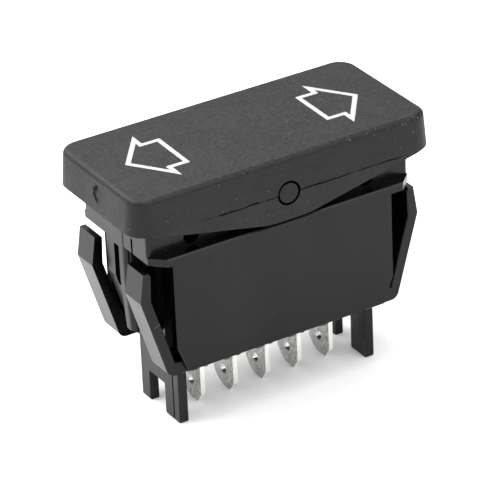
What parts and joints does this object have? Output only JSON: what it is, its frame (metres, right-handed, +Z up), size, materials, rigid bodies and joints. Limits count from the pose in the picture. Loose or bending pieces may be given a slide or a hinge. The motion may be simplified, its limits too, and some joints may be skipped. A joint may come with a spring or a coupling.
{
  "type": "power window switch",
  "caption": "Momentary rocker switch for car windows: arrowed rocker on a snap-in black housing with a row of blade terminals below.",
  "frame": {"origin": "under the middle of the switch, in the plane of the undersides of its four feet", "axes": "+X along the rocker to its right end, +Y to the back, +Z up, out of the panel towards the user"},
  "size_m": [0.0548, 0.0258, 0.0442],
  "materials": {
    "rocker_plastic": "fine spark-eroded texture, charcoal black",
    "housing_plastic": "satin black moulded nylon",
    "tin_plate": "bright tin plate on brass strip",
    "contact_silver": "silver alloy contact",
    "copper_strip": "rolled copper alloy strip",
    "spring_steel": "drawn spring wire",
    "plunger_nylon": "natural nylon"
  },
  "bodies": {
    "housing": {"housing_shell": "housing_plastic", "terminal_base": "housing_plastic", "terminal_1_ground": "tin_plate", "terminal_2_motor": "tin_plate", "terminal_3_supply": "tin_plate", "terminal_4_motor": "tin_plate", "terminal_5_ground": "tin_plate", "fixed_contact_ground_left": "contact_silver", "fixed_contact_supply_left": "contact_silver", "fixed_contact_supply_right": "contact_silver", "fixed_contact_ground_right": "contact_silver"},
    "rocker": {"rocker_cap": "rocker_plastic", "plunger_spring_left": "spring_steel", "plunger_spring_right": "spring_steel"},
    "left_plunger": {"plunger_left": "plunger_nylon"},
    "right_plunger": {"plunger_right": "plunger_nylon"},
    "left_arm": {"contact_arm_left": "copper_strip", "moving_contact_ground_left": "contact_silver", "moving_contact_supply_left": "contact_silver"},
    "right_arm": {"contact_arm_right": "copper_strip", "moving_contact_ground_right": "contact_silver", "moving_contact_supply_right": "contact_silver"}
  },
  "joints": [
    {"name": "rocker_tilt", "type": "hinge", "parent": "housing", "child": "rocker", "pos_m": [0, 0, 0.0382], "axis": [0, 1, 0], "range_deg": [-7, 7], "stiffness_Nm_per_rad": 0.4},
    {"name": "left_plunger_slide", "type": "slide", "parent": "rocker", "child": "left_plunger", "axis": [0, 0, 1], "range_m": [-0.00075, 0.00075], "deforming": ["plunger_spring_left"]},
    {"name": "right_plunger_slide", "type": "slide", "parent": "rocker", "child": "right_plunger", "axis": [0, 0, 1], "range_m": [-0.00075, 0.00075], "deforming": ["plunger_spring_right"]},
    {"name": "left_arm_rock", "type": "hinge", "parent": "housing", "child": "left_arm", "pos_m": [-0.0061, -0.00095, 0.02083], "axis": [0, 1, 0], "range_deg": [-9.81, 9.81]},
    {"name": "right_arm_rock", "type": "hinge", "parent": "housing", "child": "right_arm", "pos_m": [0.0061, -0.00095, 0.02083], "axis": [0, 1, 0], "range_deg": [-9.81, 9.81]}
  ],
  "couplings": [
    {"joint": "left_plunger_slide", "follows": "rocker_tilt", "m_per_rad": -0.0061},
    {"joint": "right_plunger_slide", "follows": "rocker_tilt", "m_per_rad": 0.0061},
    {"joint": "left_arm_rock", "follows": "rocker_tilt", "ratio": -1.4},
    {"joint": "right_arm_rock", "follows": "rocker_tilt", "ratio": -1.4}
  ]
}
